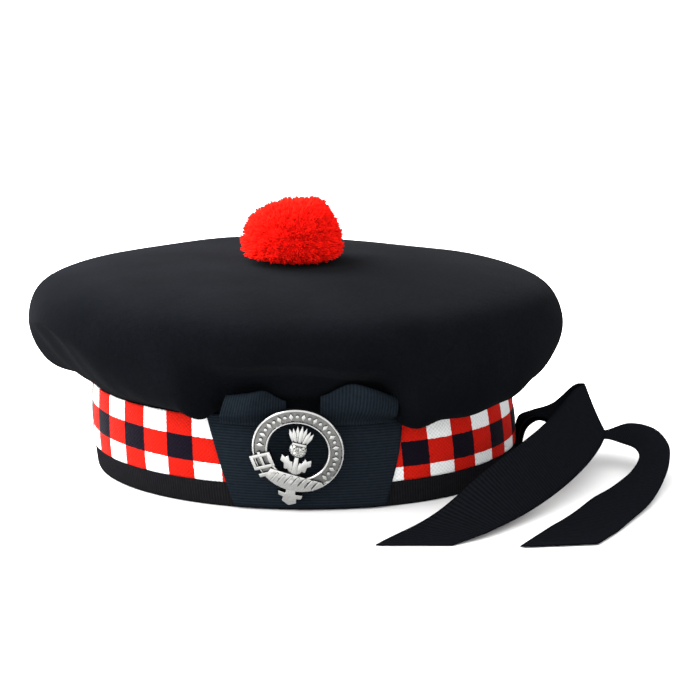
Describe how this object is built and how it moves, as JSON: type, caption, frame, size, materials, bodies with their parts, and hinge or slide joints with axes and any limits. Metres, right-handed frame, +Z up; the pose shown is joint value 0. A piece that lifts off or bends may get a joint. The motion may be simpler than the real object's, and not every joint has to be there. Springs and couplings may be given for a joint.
{
  "type": "balmoral bonnet",
  "caption": "Soft felted wool bonnet with a wide round crown, diced band, bound rim, red pompom, side cockade with a cast badge, and ribbon tails; worn on the head.",
  "frame": {"origin": "middle of the head opening, on the surface that the bound rim rests on", "axes": "+Z up through the crown, +X towards the nape and the ribbon tails, -X the wearer's face, -Y the wearer's left side with the cockade and badge"},
  "size_m": [0.3039, 0.2605, 0.1258],
  "materials": {
    "felt_wool": "dark navy-black felted wool",
    "diced_wool": "red, white and black woven wool dicing",
    "grosgrain": "dark ribbed ribbon",
    "white_metal": "polished cast white metal",
    "toorie_wool": "red cut wool yarn"
  },
  "bodies": {
    "root": {"crown": "felt_wool", "diced_band": "diced_wool", "rim_binding": "grosgrain", "cockade_tails": "grosgrain", "cockade_loop_front": "grosgrain", "cockade_loop_back": "grosgrain", "badge": "white_metal", "toorie": "toorie_wool", "ribbon_tail_near": "grosgrain", "ribbon_tail_far": "grosgrain"}
  },
  "joints": []
}
